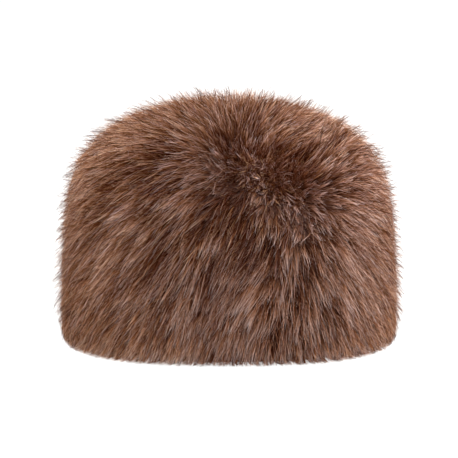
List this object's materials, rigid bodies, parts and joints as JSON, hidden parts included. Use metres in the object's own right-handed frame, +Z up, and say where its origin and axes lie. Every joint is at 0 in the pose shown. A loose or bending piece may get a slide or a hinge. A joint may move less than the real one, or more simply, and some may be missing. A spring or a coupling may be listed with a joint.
{
  "type": "faux fur toque",
  "caption": "Domed pillbox hat of long brown faux fur, with a crown panel sewn to a deep side band and an open hollow for the head.",
  "frame": {"origin": "on the surface the hat rests on, under the middle of its outline", "axes": "+Z up through the crown, -Y to the front of the hat, +X to the right seen from the front"},
  "size_m": [0.2562, 0.264, 0.1826],
  "materials": {
    "crown_fur": "long brown pile combed out of a whorl, in pointed locks with lighter tips and dark roots",
    "band_fur": "long brown pile combed down, in pointed locks with lighter tips and dark roots, on a plain brown knitted cloth"
  },
  "bodies": {
    "root": {"crown_panel": "crown_fur", "side_band": "band_fur"}
  },
  "joints": []
}
